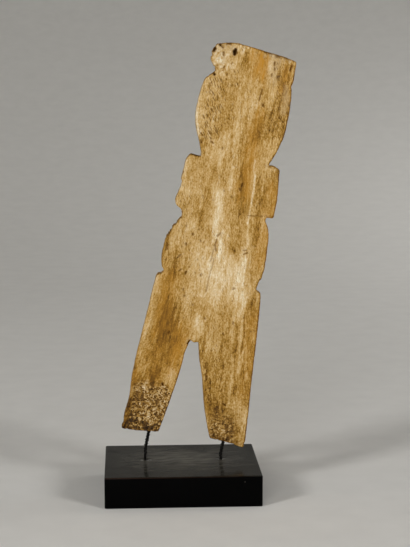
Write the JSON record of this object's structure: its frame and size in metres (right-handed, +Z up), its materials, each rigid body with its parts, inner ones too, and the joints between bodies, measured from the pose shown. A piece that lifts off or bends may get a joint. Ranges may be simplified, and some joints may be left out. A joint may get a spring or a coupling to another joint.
{
  "type": "anthropomorphic figurine",
  "caption": "Flat notched human figure carved from a split long bone, leaning on two thin steel rods that stand in a small black block plinth.",
  "frame": {"origin": "centre of the plinth's underside", "axes": "+Z up, +X to the viewer's right across the plinth's long side, and the figure's hollow inner side faces -Y"},
  "size_m": [0.0618, 0.04, 0.1455],
  "materials": {
    "bone": "old polished bone, honey to cream, with brown streaks and open pores",
    "rod_steel": "blackened steel wire, satin",
    "black_lacquer": "black satin lacquer on a wooden block"
  },
  "bodies": {
    "root": {"figurine": "bone", "left_rod": "rod_steel", "right_rod": "rod_steel", "plinth": "black_lacquer"}
  },
  "joints": []
}
